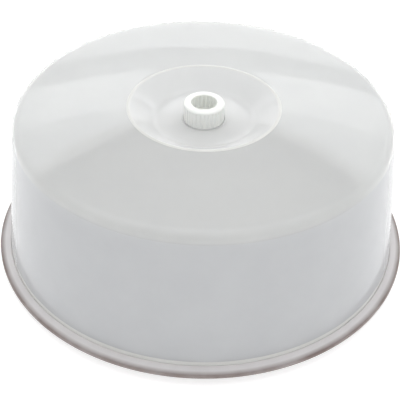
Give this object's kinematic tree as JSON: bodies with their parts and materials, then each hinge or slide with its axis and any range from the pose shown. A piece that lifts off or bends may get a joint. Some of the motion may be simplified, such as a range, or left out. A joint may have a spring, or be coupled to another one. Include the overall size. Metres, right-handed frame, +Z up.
{
  "type": "humidity dome tray",
  "caption": "Round clear humidity dome with a drafted wall and a rotary vent knob in its dished crown, resting on a shallow saucer tray.",
  "frame": {"origin": "centre of the face that the tray stands on", "axes": "+Z up along the dome's axis; the object is round, so X and Y are free"},
  "size_m": [0.3, 0.3, 0.1226],
  "materials": {
    "tray_plastic": "satin natural polypropylene",
    "clear_plastic": "clear, slightly milky moulding with a glossy surface",
    "knob_plastic": "translucent natural polypropylene, semi-gloss"
  },
  "bodies": {
    "tray": {"tray": "tray_plastic"},
    "dome": {"dome": "clear_plastic"},
    "vent": {"vent_knob": "knob_plastic", "vent_retainer": "knob_plastic"}
  },
  "joints": [
    {"name": "dome_lift", "type": "slide", "parent": "tray", "child": "dome", "axis": [0, 0, 1], "range_m": [0, 0.15]},
    {"name": "vent_turn", "type": "hinge", "parent": "dome", "child": "vent", "pos_m": [0, 0, 0.1092], "axis": [0, 0, 1], "range_deg": [0, 60]}
  ]
}
